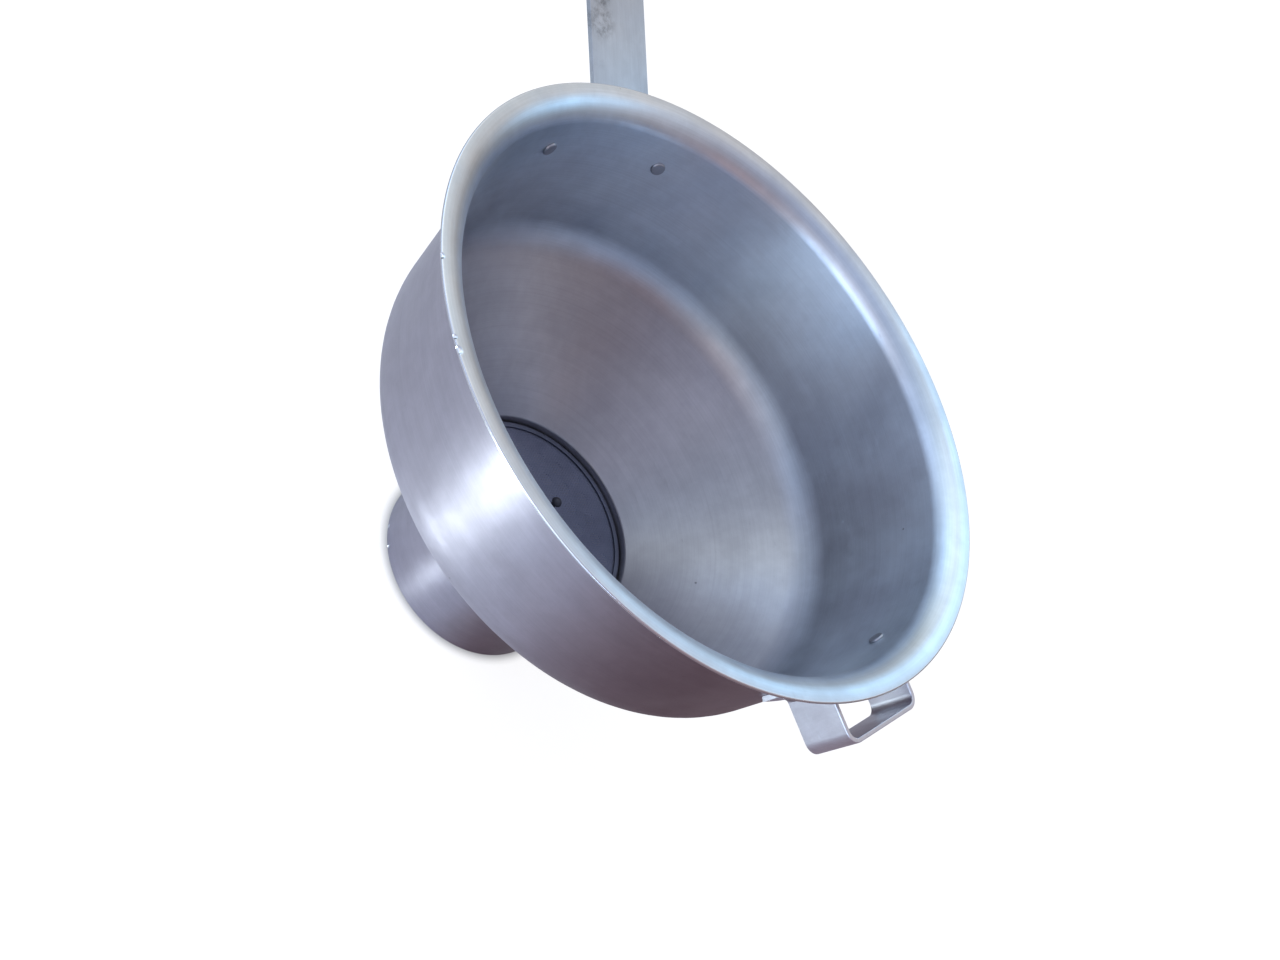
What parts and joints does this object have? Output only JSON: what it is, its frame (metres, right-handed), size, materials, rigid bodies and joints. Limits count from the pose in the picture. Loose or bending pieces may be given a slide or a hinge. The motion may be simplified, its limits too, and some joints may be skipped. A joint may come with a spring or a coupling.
{
  "type": "milk strainer",
  "caption": "Spun aluminium hand strainer: wide lipped funnel on a short spout, strap handle, bent rest loop on the far side, and a sieve that lifts out of the neck by its pin.",
  "frame": {"origin": "centre of the spout's lower end, which the strainer stands on", "axes": "+Z along the axis, out of the mouth; +X to the handle; +Y by the right-hand rule"},
  "size_m": [0.4065, 0.24, 0.213],
  "materials": {
    "spun_aluminium": "satin, spun, aged",
    "strap_aluminium": "rolled strip, satin",
    "rivet_aluminium": "satin",
    "sieve_aluminium": "dull, darkened",
    "gauze_wire": "dark woven wire"
  },
  "bodies": {
    "strainer": {"bowl": "spun_aluminium", "spout": "spun_aluminium", "handle": "strap_aluminium", "handle_rivets": "rivet_aluminium", "rest_loop": "strap_aluminium", "loop_rivets": "rivet_aluminium"},
    "sieve": {"sieve_ring": "sieve_aluminium", "support_plate": "sieve_aluminium", "gauze": "gauze_wire", "pin_washer": "sieve_aluminium", "lift_pin": "sieve_aluminium"}
  },
  "joints": [
    {"name": "sieve_lift", "type": "slide", "parent": "strainer", "child": "sieve", "axis": [0, 0, 1], "range_m": [0, 0.13]}
  ]
}
